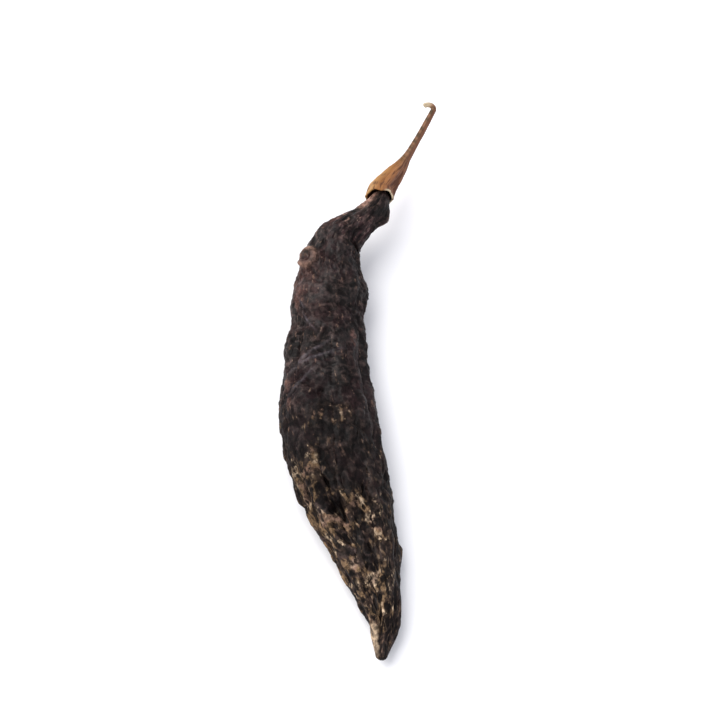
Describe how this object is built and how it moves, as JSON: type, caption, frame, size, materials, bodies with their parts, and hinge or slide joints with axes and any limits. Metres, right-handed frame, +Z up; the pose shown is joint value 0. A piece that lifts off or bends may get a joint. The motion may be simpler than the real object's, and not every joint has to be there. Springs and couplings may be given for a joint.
{
  "type": "dried chilli pepper",
  "caption": "Flattened, wrinkled dried chilli pod lying on its belly, with a woody calyx cone and a hooked stalk.",
  "frame": {"origin": "on the surface that the pod lies on, under the middle of the whole fruit's box", "axes": "+Y along the fruit from tip to stalk, +Z up, +X to the right seen from the tip end"},
  "size_m": [0.039, 0.153, 0.0149],
  "materials": {
    "pod_skin": "dry wrinkled skin, satin, purplish brown-black with tan flecks on its ridges",
    "stem_wood": "dry fibrous stalk, matt, orange-brown at the calyx and tan towards its end"
  },
  "bodies": {
    "root": {"pod": "pod_skin", "stem": "stem_wood"}
  },
  "joints": []
}
